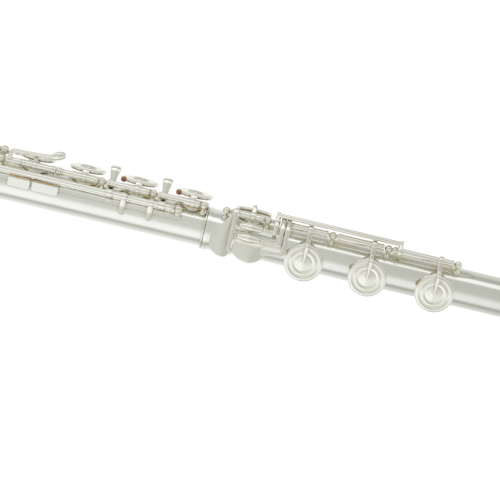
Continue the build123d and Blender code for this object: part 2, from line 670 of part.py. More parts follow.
os.makedirs("parts", exist_ok=True)
for name, shape in parts.items():
    export_step(shape, f"parts/{name}.step")
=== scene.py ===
import json
from math import cos, pi, radians, sin

import bmesh
import bpy
import numpy as np
from mathutils import Matrix, Vector

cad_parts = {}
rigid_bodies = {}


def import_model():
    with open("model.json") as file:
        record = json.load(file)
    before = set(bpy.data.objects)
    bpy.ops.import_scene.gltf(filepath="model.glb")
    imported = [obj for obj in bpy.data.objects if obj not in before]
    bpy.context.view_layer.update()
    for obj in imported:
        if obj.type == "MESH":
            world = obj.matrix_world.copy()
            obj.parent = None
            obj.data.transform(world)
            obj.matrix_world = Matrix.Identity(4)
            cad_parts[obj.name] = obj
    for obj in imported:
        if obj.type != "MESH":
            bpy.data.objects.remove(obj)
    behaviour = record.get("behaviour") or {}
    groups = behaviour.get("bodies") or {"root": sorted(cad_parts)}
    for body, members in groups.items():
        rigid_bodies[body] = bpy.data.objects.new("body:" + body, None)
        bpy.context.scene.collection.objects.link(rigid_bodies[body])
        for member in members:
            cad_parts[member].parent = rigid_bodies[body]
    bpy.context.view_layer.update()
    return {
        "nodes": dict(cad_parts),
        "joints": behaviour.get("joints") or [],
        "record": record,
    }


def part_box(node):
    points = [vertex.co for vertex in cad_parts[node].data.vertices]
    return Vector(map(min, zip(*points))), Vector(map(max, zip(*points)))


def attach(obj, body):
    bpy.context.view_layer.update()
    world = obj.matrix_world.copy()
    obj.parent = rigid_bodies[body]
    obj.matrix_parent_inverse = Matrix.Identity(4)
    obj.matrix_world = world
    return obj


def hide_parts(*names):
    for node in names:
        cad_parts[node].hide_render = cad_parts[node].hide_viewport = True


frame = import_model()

MM = 0.001
NODES = frame["nodes"]
SLOT_OF = {row["node"]: row["material_slot"] for row in frame["record"]["subparts"]}

# ---------------------------------------------------------------- camera
CAMERA_ROLL = radians(13.3)
VIEW_WIDTH = 258.0 * MM
VIEW_CENTRE = Vector((-143.9 * MM, 0.0, -5.9 * MM))
CAMERA_DISTANCE = 1.2
SENSOR = 36.0


def make_camera():
    """The camera looks along +Y from the player's side, rolled so that the flute runs down to the right."""
    data = bpy.data.cameras.new("camera")
    data.sensor_width = SENSOR
    data.lens = SENSOR * CAMERA_DISTANCE / VIEW_WIDTH
    data.clip_start, data.clip_end = 0.05, 50.0
    camera = bpy.data.objects.new("camera", data)
    bpy.context.scene.collection.objects.link(camera)
    right = Vector((cos(CAMERA_ROLL), 0, sin(CAMERA_ROLL)))
    up = Vector((-sin(CAMERA_ROLL), 0, cos(CAMERA_ROLL)))
    back = Vector((0, -1, 0))
    place = VIEW_CENTRE + back * CAMERA_DISTANCE
    camera.matrix_world = Matrix.Translation(place) @ Matrix((right, up, back)).transposed().to_4x4()
    bpy.context.scene.camera = camera


# ---------------------------------------------------------------- node helpers
class Graph:
    """Short calls for building a material's nodes."""

    def __init__(self, material):
        self.tree = material.node_tree
        self.shader = self.tree.nodes["Principled BSDF"]
        self.place = self.add("ShaderNodeTexCoord").outputs["Object"]

    def add(self, kind, **settings):
        node = self.tree.nodes.new(kind)
        for key, value in settings.items():
            setattr(node, key, value)
        return node

    def link(self, a, b):
        self.tree.links.new(a, b)

    def noise(self, scale, detail=4.0, stretch=(1, 1, 1), roughness=0.55):
        mapping = self.add("ShaderNodeMapping")
        mapping.inputs["Scale"].default_value = stretch
        self.link(self.place, mapping.inputs["Vector"])
        node = self.add("ShaderNodeTexNoise")
        node.inputs["Scale"].default_value = scale
        node.inputs["Detail"].default_value = detail
        node.inputs["Roughness"].default_value = roughness
        self.link(mapping.outputs["Vector"], node.inputs["Vector"])
        return node.outputs["Fac"]

    def ramp(self, source, stops):
        node = self.add("ShaderNodeValToRGB")
        while len(node.color_ramp.elements) < len(stops):
            node.color_ramp.elements.new(0.5)
        for element, (at, colour) in zip(node.color_ramp.elements, stops):
            element.position = at
            element.color = (*colour, 1) if isinstance(colour, tuple) else (colour, colour, colour, 1)
        self.link(source, node.inputs["Fac"])
        return node.outputs["Color"]

    def mix(self, fac, a, b, blend="MIX"):
        node = self.add("ShaderNodeMixRGB", blend_type=blend)
        for value, socket in ((fac, node.inputs[0]), (a, node.inputs[1]), (b, node.inputs[2])):
            if isinstance(value, tuple):
                socket.default_value = (*value, 1)
            elif isinstance(value, float):
                socket.default_value = value
            else:
                self.link(value, socket)
        return node.outputs[0]

    # Ambient occlusion, used as the mask for painted shade in corners and recesses.
    def painted_shade_mask(self, distance):
        node = self.add("ShaderNodeAmbientOcclusion", samples=6)
        node.inputs["Distance"].default_value = distance
        return node.outputs["AO"]

    def bump(self, height, strength, distance):
        node = self.add("ShaderNodeBump")
        node.inputs["Strength"].default_value = strength
        node.inputs["Distance"].default_value = distance
        self.link(height, node.inputs["Height"])
        self.link(node.outputs["Normal"], self.shader.inputs["Normal"])


def new_material(name):
    material = bpy.data.materials.new(name)
    material.use_nodes = True
    return material, Graph(material)


def silver(name, bright, shade_tint, rough, shade_reach_mm, polish_stretch):
    """Polished silver plate: painted shade darkens its corners to a warm tint that also stands for tarnish, with fine
    polishing marks.
    """
    material, g = new_material(name)
    cloud = g.noise(38, 5)
    tone = g.ramp(cloud, [(0.35, bright), (0.75, tuple(c * 0.955 for c in bright))])
    # Painted shade: ambient occlusion darkens the base colour towards the shade tint in corners and recesses.
    corner = g.ramp(g.painted_shade_mask(shade_reach_mm * MM), [(0.2, shade_tint), (0.82, (1.0, 1.0, 1.0))])
    g.link(g.mix(1.0, tone, corner, "MULTIPLY"), g.shader.inputs["Base Color"])
    marks = g.noise(900, 3, polish_stretch)
    smear = g.noise(55, 4)
    rough_map = g.ramp(g.mix(0.45, marks, smear), [(0.3, rough * 0.7), (0.8, rough * 1.5)])
    g.link(rough_map, g.shader.inputs["Roughness"])
    g.shader.inputs["Metallic"].default_value = 1.0
    g.bump(g.mix(0.5, marks, smear), 0.05, 0.00002)
    return material


def pad_skin():
    material, g = new_material("pad_skin")
    fibres = g.noise(700, 5)
    blotch = g.noise(90, 4)
    tone = g.ramp(g.mix(0.5, fibres, blotch), [(0.3, (0.56, 0.36, 0.2)), (0.7, (0.82, 0.64, 0.42))])
    # Painted shade: ambient occlusion darkens the skin to brown where it sits in corners under the cup.
    edge = g.ramp(g.painted_shade_mask(1.5 * MM), [(0.1, (0.45, 0.25, 0.15)), (0.7, (1.0, 1.0, 1.0))])
    g.link(g.mix(1.0, tone, edge, "MULTIPLY"), g.shader.inputs["Base Color"])
    g.link(g.ramp(fibres, [(0.3, 0.42), (0.8, 0.62)]), g.shader.inputs["Roughness"])
    g.bump(g.mix(0.5, fibres, blotch), 0.25, 0.0001)
    return material


def gold():
    material, g = new_material("gold_spring")
    cloud = g.noise(300, 4)
    tone = g.ramp(cloud, [(0.3, (0.86, 0.68, 0.36)), (0.75, (0.95, 0.82, 0.54))])
    g.link(tone, g.shader.inputs["Base Color"])
    g.link(g.ramp(cloud, [(0.3, 0.18), (0.8, 0.3)]), g.shader.inputs["Roughness"])
    g.shader.inputs["Metallic"].default_value = 1.0
    return material


def steel():
    material, g = new_material("hinge_steel")
    marks = g.noise(500, 4, (0.05, 1, 1))
    g.link(g.ramp(marks, [(0.3, (0.6, 0.6, 0.58)), (0.75, (0.78, 0.78, 0.76))]),
           g.shader.inputs["Base Color"])
    g.link(g.ramp(marks, [(0.3, 0.2), (0.8, 0.38)]), g.shader.inputs["Roughness"])
    g.shader.inputs["Metallic"].default_value = 1.0
    g.bump(marks, 0.1, 0.00002)
    return material


def cork():
    material, g = new_material("cork")
    grain = g.noise(420, 6)
    spots = g.add("ShaderNodeTexVoronoi")
    spots.inputs["Scale"].default_value = 900
    g.link(g.place, spots.inputs["Vector"])
    tone = g.ramp(grain, [(0.3, (0.42, 0.26, 0.13)), (0.7, (0.72, 0.52, 0.31))])
    dark = g.ramp(spots.outputs["Distance"], [(0.05, (0.55, 0.45, 0.4)), (0.3, (1.0, 1.0, 1.0))])
    g.link(g.mix(1.0, tone, dark, "MULTIPLY"), g.shader.inputs["Base Color"])
    g.link(g.ramp(grain, [(0.3, 0.7), (0.8, 0.9)]), g.shader.inputs["Roughness"])
    g.bump(g.mix(0.5, grain, spots.outputs["Distance"]), 0.5, 0.0002)
    return material


def felt():
    """Dark red bumper felt."""
    material, g = new_material("felt")
    fibres = g.noise(1500, 6)
    g.link(g.ramp(fibres, [(0.3, (0.2, 0.06, 0.035)), (0.72, (0.46, 0.18, 0.11))]),
           g.shader.inputs["Base Color"])
    g.link(g.ramp(fibres, [(0.3, 0.85), (0.8, 1.0)]), g.shader.inputs["Roughness"])
    g.shader.inputs["Sheen Weight"].default_value = 0.4
    g.bump(fibres, 0.6, 0.00025)
    return material


# For each silver: base colour, tint of its painted corner shade, roughness, how far the painted shade reaches in mm,
# stretch of the polishing marks.
MATERIALS = {
    "silver_tube": silver("silver_tube", (0.935, 0.94, 0.9), (0.6, 0.56, 0.4), 0.085, 4.0, (0.03, 1, 1)),
    "silver_keys": silver("silver_keys", (0.965, 0.965, 0.905), (0.5, 0.45, 0.27), 0.1, 3.2, (1, 1, 1)),
    "silver_posts": silver("silver_posts", (0.92, 0.91, 0.8), (0.42, 0.36, 0.18), 0.12, 3.2, (1, 1, 1)),
    "pad_skin": pad_skin(),
    "gold_spring": gold(),
    "hinge_steel": steel(),
    "cork": cork(),
    "felt": felt(),
}


def dress_frame():
    """Gives every CAD node its slot's finished material; the straps are as bright as the tubes."""
    for name, node in NODES.items():
        material = MATERIALS["silver_tube" if name.endswith(("_ribs", "_rib")) else SLOT_OF[name]]
        if not node.material_slots:
            node.data.materials.append(material)
        for slot in node.material_slots:
            slot.material = material


# ---------------------------------------------------------------- mesh tools
X_AXIS, Y_AXIS, Z_AXIS = Vector((1, 0, 0)), Vector((0, 1, 0)), Vector((0, 0, 1))
ROUND = 64
SHARP_ANGLE = radians(38)


def blend_points(points, steps, closed=False):
    """A smooth line through the points (Catmull-Rom), as tuples of the same length."""
    count = len(points)
    spans = count if closed else count - 1
    result = []
    for i in range(spans):
        if closed:
            p = [points[(i + k - 1) % count] for k in range(4)]
        else:
            p = [points[min(max(i + k - 1, 0), count - 1)] for k in range(4)]
        for j in range(steps):
            t = j / steps
            result.append(tuple(
                0.5 * (2 * b + (c - a) * t + (2 * a - 5 * b + 4 * c - d) * t * t + (3 * b - a - 3 * c + d) * t ** 3)
                for a, b, c, d in zip(*p)
            ))
    if not closed:
        result.append(tuple(points[-1]))
    return result


def soften(points, radius, closed=False, steps=4):
    """The same outline with each corner rounded off."""
    count = len(points)
    result = []
    for i, corner in enumerate(points):
        if not closed and i in (0, count - 1):
            result.append(tuple(corner))
            continue
        here = Vector(corner)
        before, after = Vector(points[i - 1]) - here, Vector(points[(i + 1) % count]) - here
        start = here + before * min(0.45, radius / max(before.length, 1e-9))
        end = here + after * min(0.45, radius / max(after.length, 1e-9))
        for j in range(steps + 1):
            t = j / steps
            result.append(tuple(start * (1 - t) ** 2 + here * (2 * t * (1 - t)) + end * t * t))
    return result


class Skin:
    """One piece's surface, collected in millimetres."""

    def __init__(self):
        self.points, self.faces = [], []

    def loft(self, rings, loop=False):
        """Joins rings of equal length with quads, and closes the first and last unless they meet."""
        base, width, rows = len(self.points), len(rings[0]), len(rings)
        for ring in rings:
            self.points.extend(ring)
        for i in range(rows if loop else rows - 1):
            near, far = base + i * width, base + (i + 1) % rows * width
            for j in range(width):
                k = (j + 1) % width
                self.faces.append((near + j, near + k, far + k, far + j))
        if not loop:
            self.faces.append(tuple(base + j for j in reversed(range(width))))
            self.faces.append(tuple(base + (rows - 1) * width + j for j in range(width)))

    def lathe(self, place, profile, loop=False, segments=ROUND):
        """Turns a profile of (radius, height) points about the local Z axis."""
        rings = []
        for radius, height in profile:
            radius = max(radius, 0.0005)
            turns = [2 * pi * j / segments for j in range(segments)]
            rings.append([place @ Vector((radius * cos(t), radius * sin(t), height)) for t in turns])
        self.loft(rings, loop)

    def sweep(self, path, side, widths, heights, steps=8, power=2.6, ends=(True, True), around=24):
        """A rounded bar along a smooth line: side is the direction of its width."""
        rows = [(*p, w, h) for p, w, h in zip(path, widths, heights)]
        rows = blend_points(rows, steps)
        centres = [Vector(row[:3]) for row in rows]
        rings = []
        last = len(rows) - 1
        for i, row in enumerate(rows):
            tangent = (centres[min(i + 1, last)] - centres[max(i - 1, 0)]).normalized()
            across = (side - tangent * side.dot(tangent)).normalized()
            up = tangent.cross(across)
            half_w, half_h = row[3] / 2, row[4] / 2
            slices = [(0.0, 1.0)]
            bulge = min(half_h, half_w)
            if i == 0 and ends[0]:
                slices = [(-0.99, 0.14), (-0.9, 0.44), (-0.6, 0.8), (-0.3, 0.95), (0.0, 1.0)]
            if i == last and ends[1]:
                slices = [(0.0, 1.0), (0.3, 0.95), (0.6, 0.8), (0.9, 0.44), (0.99, 0.14)]
            for shift, scale in slices:
                centre = centres[i] + tangent * shift * bulge
                ring = []
                for j in range(around):
                    turn = 2 * pi * j / around
                    c, d = cos(turn), sin(turn)
                    u = math_sign(c) * abs(c) ** (2 / power) * half_w * scale
                    v = math_sign(d) * abs(d) ** (2 / power) * half_h * scale
                    ring.append(centre + across * u + up * v)
                rings.append(ring)
        self.loft(rings)

    def plate(self, outline, surface, thickness, crown=0.3, edge=0.35):
        """A pillowed plate: surface(u, v, h) puts a point of the outline's plane in space."""
        count = len(outline)
        mid_u = sum(p[0] for p in outline) / count
        mid_v = sum(p[1] for p in outline) / count
        reach = sum(Vector((p[0] - mid_u, p[1] - mid_v)).length for p in outline) / count
        inset = 1 - edge / reach
        low, high = -thickness / 2, thickness / 2
        levels = [(0.001, low), (0.5, low), (inset, low), (1 - 0.3 * (1 - inset), low + 0.3 * edge), (1,
                                                                                                      low + edge)]
        levels += [(1, high - edge), (1 - 0.3 * (1 - inset), high - 0.3 * edge), (inset, high)]
        levels += [(inset * k, high + crown * (1 - k * k)) for k in (0.96, 0.88, 0.76, 0.6, 0.42, 0.22,
                                                                     0.001)]
        rings = []
        for scale, height in levels:
            rings.append([
                surface(mid_u + (u - mid_u) * scale, mid_v + (v - mid_v) * scale, height) for u, v in outline
            ])
        self.loft(rings)

    def piece(self, name, body, slot, *replaced, material=None):
        """Turns the surface into an object that rides on a body."""
        data = bpy.data.meshes.new(name)
        data.from_pydata([p * MM for p in self.points], [], self.faces)
        work = bmesh.new()
        work.from_mesh(data)
        bmesh.ops.recalc_face_normals(work, faces=work.faces)
        work.to_mesh(data)
        work.free()
        data.shade_smooth()
        data.set_sharp_from_angle(angle=SHARP_ANGLE)
        data.materials.append(MATERIALS[material or slot])
        shape = bpy.data.objects.new(name, data)
        bpy.context.scene.collection.objects.link(shape)
        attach(shape, body)
        if replaced:
            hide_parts(*replaced)
        return shape


def math_sign(value):
    return 1 if value >= 0 else -1


def along_x(x, y, z):
    """The frame of a bar parallel to the flute: its local Z runs along +X."""
    return Matrix(((0, 0, 1, x), (0, 1, 0, y), (-1, 0, 0, z), (0, 0, 0, 1)))


# ---------------------------------------------------------------- what the frame says
BODY_OF = {node: body for body, nodes in frame["record"]["behaviour"]["bodies"].items() for node in nodes}
JOINT_OF = {joint["child"]: joint for joint in frame["joints"]}


def mesh_points(node):
    data = NODES[node].data
    flat = np.zeros(len(data.vertices) * 3, np.float32)
    data.vertices.foreach_get("co", flat)
    return flat.reshape(-1, 3).astype(float) / MM


def islands(node):
    """The separate solids of a node, each as its points in millimetres, from low x to high."""
    work = bmesh.new()
    work.from_mesh(NODES[node].data)
    bmesh.ops.remove_doubles(work, verts=work.verts, dist=1e-6)
    left = set(work.verts)
    found = []
    while left:
        group, edge = [], [left.pop()]
        while edge:
            vert = edge.pop()
            group.append(tuple(vert.co / MM))
            for link in vert.link_edges:
                other = link.other_vert(vert)
                if other in left:
                    left.remove(other)
                    edge.append(other)
        found.append(np.array(group))
    work.free()
    return sorted(found, key=lambda group: group[:, 0].min())


def rod_of(body):
    """The y and z of the rod that a key turns on."""
    return Vector((0, *(v / MM for v in JOINT_OF[body]["pos_m"][1:])))


def disc_frame(points):
    """The frame of a pad: origin at the middle of its lower face, Z out of the flute; and its radius."""
    low, high = points.min(0), points.max(0)
    middle = points.mean(0)
    middle[0] = (low[0] + high[0]) / 2
    _, vectors = np.linalg.eigh(np.cov((points - middle).T))
    out = Vector(vectors[:, 0])
    out.x = 0
    out.normalize()
    if out.dot(Vector((0, *middle[1:]))) < 0:
        out = -out
    heights = (points - middle) @ np.array(out)
    ends = points[heights < heights.min() + 0.35]
    base = Vector(((low[0] + high[0]) / 2, *(ends[:, 1:].min(0) + ends[:, 1:].max(0)) / 2))
    base += out * (heights.min() - (np.array(base) - middle) @ np.array(out))
    side = out.cross(X_AXIS)
    place = Matrix.Identity(4)
    for column, vector in enumerate((X_AXIS, side, out, base)):
        for row in range(3):
            place[row][column] = vector[row]
    return place, (high[0] - low[0]) / 2


def discs(node):
    return [disc_frame(points) for points in islands(node)]


def tube_span(node, body, radius):
    """Where a key's hinge tube starts and ends."""
    rod = rod_of(body)
    points = mesh_points(node)
    off = np.hypot(points[:, 1] - rod.y, points[:, 2] - rod.z)
    xs = points[abs(off - radius) < 0.06][:, 0]
    return xs.min(), xs.max()


# ---------------------------------------------------------------- keys
HINGE_R = 1.75
TRILL_R = 1.5
BORE = 1.05
EYE_R = 2.6
OPEN_HOLE_R = 3.7

# Heights above a pad's lower face
SKIRT, PAD_TOP, CUP_TOP, DOME = 0.58, 1.32, 2.07, 2.52


def cup_profile(radius, hole, ringed):
    """Half of a cup's section, from its pad's rim outwards over the skirt to the middle."""
    wall = radius - 0.5
    inner = hole if hole else 0.0
    profile = [(inner, PAD_TOP + 0.1), (wall, PAD_TOP + 0.1), (wall, SKIRT)]
    skirt = [(wall, SKIRT), (radius - 0.12, SKIRT), (radius, SKIRT + 0.22), (radius, CUP_TOP - 0.95)]
    profile += soften(skirt, 0.12)[1:]
    edge = [(radius, CUP_TOP - 0.95), (radius - 0.14, CUP_TOP - 0.5), (radius - 0.62, CUP_TOP - 0.14)]
    if ringed:
        edge += [
            (radius * 0.86, CUP_TOP + 0.04), (radius * 0.80, CUP_TOP - 0.05), (radius * 0.75, CUP_TOP - 0.42),
            (radius * 0.70, CUP_TOP - 0.34), (radius * 0.66, CUP_TOP - 0.02), (radius * 0.58, CUP_TOP + 0.12),
            (radius * 0.50, CUP_TOP - 0.06), (radius * 0.46, CUP_TOP - 0.14), (radius * 0.40, CUP_TOP + 0.10),
            (radius * 0.22, CUP_TOP + 0.30), (radius * 0.10, DOME - 0.02), (0.0, DOME),
        ]
    elif hole:
        edge += [
            (radius * 0.84, CUP_TOP + 0.06), (radius * 0.75, CUP_TOP + 0.12), (radius * 0.67, CUP_TOP + 0.04),
            (hole + 1.5, CUP_TOP - 0.06), (hole + 0.9, CUP_TOP + 0.04), (hole + 0.75, CUP_TOP + 0.3),
            (hole + 0.5, CUP_TOP + 0.42), (hole + 0.15, CUP_TOP + 0.3), (hole, CUP_TOP), (hole, SKIRT + 0.3),
        ]
    else:
        edge += [(radius * 0.8, CUP_TOP + 0.08), (radius * 0.45, DOME - 0.14), (0.0, DOME)]
    profile += blend_points(edge, 4)[1:]
    return profile


def draw_cup(skin, place, radius, hole=0.0, ringed=False):
    pad_radius = radius + 0.5
    skin.lathe(place, cup_profile(pad_radius, hole, ringed), loop=bool(hole), segments=96)
    if hole:
        ring = soften([(hole, 0.02), (hole + 0.48, 0.02), (hole + 0.48, SKIRT + 0.4), (hole, SKIRT + 0.4)],
                      0.1)
        skin.lathe(place, ring, loop=True)


def hinge_tube(skin, x0, x1, at, radius=HINGE_R, bore=BORE, rings=True):
    """A key's tube: bored, softly chamfered, with a small bead near each end."""
    half = (x1 - x0) / 2
    place = along_x((x0 + x1) / 2, at.y, at.z)
    outside = [(radius - 0.12, -half), (radius, -half + 0.14)]
    if rings:
        for start in (-half + 0.7, half - 1.5):
            bead = [(radius, start), (radius + 0.24, start + 0.15), (radius + 0.28, start + 0.4),
                    (radius + 0.24, start + 0.65), (radius, start + 0.8)]
            outside += bead
    outside += [(radius, half - 0.14), (radius - 0.12, half)]
    skin.lathe(place, [(bore, -half), *outside, (bore, half)], loop=True, segments=48)


def eye(skin, x, at, radius=EYE_R, half=1.4):
    """The thick ring by which an arm holds its tube."""
    outline = [(HINGE_R - 0.3, -half), (radius - 0.3, -half), (radius, -half + 0.5), (radius, half - 0.5),
               (radius - 0.3, half), (HINGE_R - 0.3, half)]
    skin.lathe(along_x(x, at.y, at.z), soften(outline, 0.35), loop=True, segments=48)


def draw_pointed_arm(skin, place, radius, rod, width=2.6):
    """The French arm: over the cup's rim and to a point at its centre."""
    local = place.inverted() @ Vector((place.translation.x, rod.y, rod.z))
    side = 1 if local.y > 0 else -1
    top = DOME + 0.45
    rim = radius + 0.5
    spots = [
        (side * (abs(local.y) + 0.3), local.z + 0.4, width, 2.0),
        (side * (rim + 1.3), (local.z + top) / 2 + 0.75, width * 0.92, 1.8),
        (side * rim, top - 0.1, width * 0.86, 1.6),
        (side * rim * 0.72, top, width * 0.74, 1.35),
        (side * rim * 0.36, top + 0.05, width * 0.46, 1.1),
        (-side * 0.4, DOME + 0.08, 0.7, 0.5),
    ]
    path = [place @ Vector((0, y, z)) for y, z, _, _ in spots]
    skin.sweep(path, X_AXIS, [p[2] for p in spots], [p[3] for p in spots])


def draw_side_arm(skin, place, radius, rod, width=5.0):
    """The short arm of a finger cup: it spreads where it meets the skirt."""
    local = place.inverted() @ Vector((place.translation.x, rod.y, rod.z))
    side = 1 if local.y > 0 else -1
    rim = radius + 0.5
    middle = (SKIRT + CUP_TOP) / 2 - 0.1
    spots = [
        (side * abs(local.y), local.z, width * 0.66, 1.9),
        (side * (rim + 1.4), (local.z + middle) / 2 + 0.3, width * 0.66, 1.7),
        (side * (rim + 0.5), middle, width * 0.8, 1.6),
        (side * (rim - 0.35), middle, width * 1.15, 1.4),
    ]
    path = [place @ Vector((0, y, z)) for y, z, _, _ in spots]
    skin.sweep(path, X_AXIS, [p[2] for p in spots], [p[3] for p in spots], ends=(False, True))


def pad_piece(name, node, hole=0.0):
    """A felt disc under fish skin: slightly swollen, puckered at its edge, pressed by the rim."""
    skin = Skin()
    for place, radius in discs(node):
        body = [
            (hole + 0.55 if hole else 0.0, PAD_TOP), (radius, PAD_TOP), (radius, 0.5), (radius - 0.08, 0.22),
            (radius - 0.45, 0.03), (radius * 0.93, 0.0), (radius * 0.84, 0.02), (radius * 0.8, 0.0),
            (radius * 0.6, 0.0), (hole + 0.9 if hole else radius * 0.3, 0.0),
            (hole + 0.55 if hole else 0.0, 0.06),
        ]
        skin.lathe(place, body, loop=bool(hole), segments=96)
    skin.piece(name, BODY_OF[node], "pad_skin", node)


def key_piece(node, pads, radius=HINGE_R, pointed=(), hole=(), ringed=False, big_eye=False, extra=()):
    """A key's metal as one surface: tube, cups, arms and whatever levers it has."""
    body = BODY_OF[node]
    rod = rod_of(body)
    skin = Skin()
    span = tube_span(node, body, radius)
    hinge_tube(skin, *span, rod, radius)
    for i, (place, pad_radius) in enumerate(discs(pads)):
        draw_cup(skin, place, pad_radius, OPEN_HOLE_R if i in hole else 0.0, ringed)
        if i in pointed:
            draw_pointed_arm(skin, place, pad_radius, rod)
        else:
            draw_side_arm(skin, place, pad_radius, rod)
        eye(skin, place.translation.x, rod, EYE_R if big_eye else HINGE_R + 0.35)
    for draw in extra:
        draw(skin, rod)
    return skin.piece(node + "_metal", body, "silver_keys", node)


def rest_turn(body):
    """How far an open key has turned from its closed place when nobody plays."""
    return -sum(JOINT_OF[body]["range_deg"]) if "range_deg" in JOINT_OF[body] else -np.degrees(sum(JOINT_OF[body]["range"]))


def turned_about(rod, degrees):
    return Matrix.Translation(rod) @ Matrix.Rotation(radians(degrees), 4, "X") @ Matrix.Translation(-rod)


def strip(points, width, thickness, x, ends=(True, True)):
    """A drawing function for a rounded strip that lies across the flute."""
    def draw(skin, rod):
        path = [Vector((x, y, z)) for y, z in points]
        widths = width if isinstance(width, (list, tuple)) else [width] * len(path)
        heights = thickness if isinstance(thickness, (list, tuple)) else [thickness] * len(path)
        skin.sweep(path, X_AXIS, widths, heights, ends=ends)
    return draw


FINGER_KEYS = [("d_key", "d_pad"), ("e_key", "e_pad"), ("f_key", "f_pad"), ("a_key", "a_pad")]


def clutch(x, half):
    """A collar with a waist, where one key's tube meets the next."""
    def draw(skin, rod):
        outline = [(HINGE_R - 0.2, -half), (2.1, -half), (2.3, -half + 0.2), (2.3, -0.25), (2.0, 0.0), (2.3,
                                                                                                        0.25),
                   (2.3, half - 0.2), (2.1, half), (HINGE_R - 0.2, half)]
        skin.lathe(along_x(x, rod.y, rod.z), soften(outline, 0.12), loop=True, segments=48)
    return draw


CLUTCHES = {"f_key": clutch(-248.3, 1.1), "f_sharp_key": clutch(-251.0, 1.2)}


def make_finger_keys():
    for node, pads in FINGER_KEYS:
        key_piece(node, pads, hole=(0,), extra=[CLUTCHES[node]] if node in CLUTCHES else ())
        pad_piece(pads + "_skin", pads, OPEN_HOLE_R)
    key_piece("g_key", "g_pads", pointed=(0,), hole=(1,))
    pad_piece("g_pads_skin", "g_pads", OPEN_HOLE_R)
    for name in ("e", "d"):
        make_bumper(name + "_key", name + "_pad")
    for name in ("f_sharp", "b_flat"):
        clutches = [CLUTCHES[name + "_key"]] if name + "_key" in CLUTCHES else ()
        key_piece(name + "_key", name + "_pad", pointed=(0,), extra=clutches)
        pad_piece(name + "_pad_skin", name + "_pad")


BUMPER_R = 1.4


def make_bumper(node, pads):
    """A felt plug in a small silver cup, on the side of a finger cup that faces the player."""
    place, radius = discs(pads)[0]
    corner = Matrix.Translation((-(radius - 0.7), -(radius * 0.55 + 0.4), 1.0))
    spot = place @ corner @ Matrix.Rotation(radians(90), 4, "X")
    holder, plug = Skin(), Skin()
    ring = [(BUMPER_R, 0.2), (BUMPER_R + 0.3, 0.0), (BUMPER_R + 0.35, -0.6), (0.6, -1.7), (0.0, -1.8), (0.0,
                                                                                                        -0.6)]
    holder.lathe(spot, soften(ring, 0.3), segments=40)
    plug.lathe(spot, [(0.0, -0.8), (BUMPER_R - 0.05, -0.8), (BUMPER_R - 0.05, 0.5), (BUMPER_R - 0.2, 0.8),
                      (BUMPER_R * 0.6, 0.95), (0.0, 1.0)], segments=40)
    body = BODY_OF[node]
    holder.piece(node + "_bumper_cup", body, "silver_keys")
    plug.piece(node + "_bumper_felt", body, "cork", material="felt")


def make_g_sharp_key():
    """The touch beside the F sharp cup is a rounded plate on a curved stalk."""
    def touch(skin, rod):
        stalk = [(rod.y, rod.z), (rod.y + 0.5, 10.0), (rod.y - 0.4, 13.6), (rod.y - 1.9, 15.0)]
        path = [Vector((-264.0, y, z)) for y, z in stalk]
        skin.sweep(path, X_AXIS, [3.4, 4.0, 6.5, 10.0], [1.9, 1.7, 1.5, 1.3])
        outline = soften([(-275.1, 11.4), (-275.1, 14.2), (-261.7, 14.4), (-261.7, 11.4)], 1.6, closed=True)
        skin.plate(outline, lambda u, v, h: Vector((u, v, 15.1 + h)), 1.2, 0.25, 0.3)
    key_piece("g_sharp_key", "g_sharp_pad", pointed=(0,), extra=(touch,))
    pad_piece("g_sharp_pad_skin", "g_sharp_pad")


THUMB_TOUCH_R = 16.5


def thumb_touch(x):
    """A curved plate that follows the tube, where the thumb presses."""
    def draw(skin, rod):
        turn = turned_about(rod, rest_turn("thumb_b"))
        outline = [(-4.3, 187), (-4.3, 150), (4.3, 150), (4.3, 187), (2.2, 203), (-2.2, 203)]
        outline = [(u, a * 0.2) for u, a in outline]
        outline = blend_points(soften(outline, 1.6, closed=True), 2, closed=True)

        def surface(u, v, h):
            angle = radians(v / 0.2)
            radius = THUMB_TOUCH_R + h
            return turn @ Vector((x + u, -radius * sin(angle), radius * cos(angle)))
        skin.plate(outline, surface, 1.2, 0.2, 0.35)
    return draw


def make_thumb_keys():
    key_piece("thumb_b_key", "thumb_b_pad", pointed=(0,), extra=(thumb_touch(-357.5),))
    pad_piece("thumb_b_pad_skin", "thumb_b_pad")
    rod = rod_of("thumb_b_flat")
    skin = Skin()
    hinge_tube(skin, *tube_span("thumb_b_flat_key", "thumb_b_flat", HINGE_R), rod)
    thumb_touch(-346.6)(skin, rod)
    skin.piece("thumb_b_flat_metal", "thumb_b_flat", "silver_keys", "thumb_b_flat_key")


def make_c_key():
    """The C key's small cup, and the round touch that the index finger presses."""
    def touch(skin, rod):
        turn = turned_about(rod, rest_turn("c"))
        disc = [(0.0, 15.4), (6.2, 15.4), (6.9, 15.7), (7.0, 16.1), (6.8, 16.5), (6.2, 16.7), (5.6, 16.62),
                (4.4, 16.45), (2.0, 16.3), (0.0, 16.28)]
        skin.lathe(turn @ Matrix.Translation((-381.0, 0, 0)), disc, segments=96)
        path = [turn @ Vector((-381.0, y, z)) for y, z in ((rod.y, rod.z), (-9.6, 13.2), (-7.2, 14.9),
                                                           (-3.0, 15.6))]
        skin.sweep(path, X_AXIS, [3.4, 3.4, 3.8, 4.6], [1.9, 1.7, 1.5, 1.0])
        eye(skin, -381.0, rod, HINGE_R + 0.35)
    key_piece("c_key", "c_pad", pointed=(0,), extra=(touch,))
    pad_piece("c_pad_skin", "c_pad")


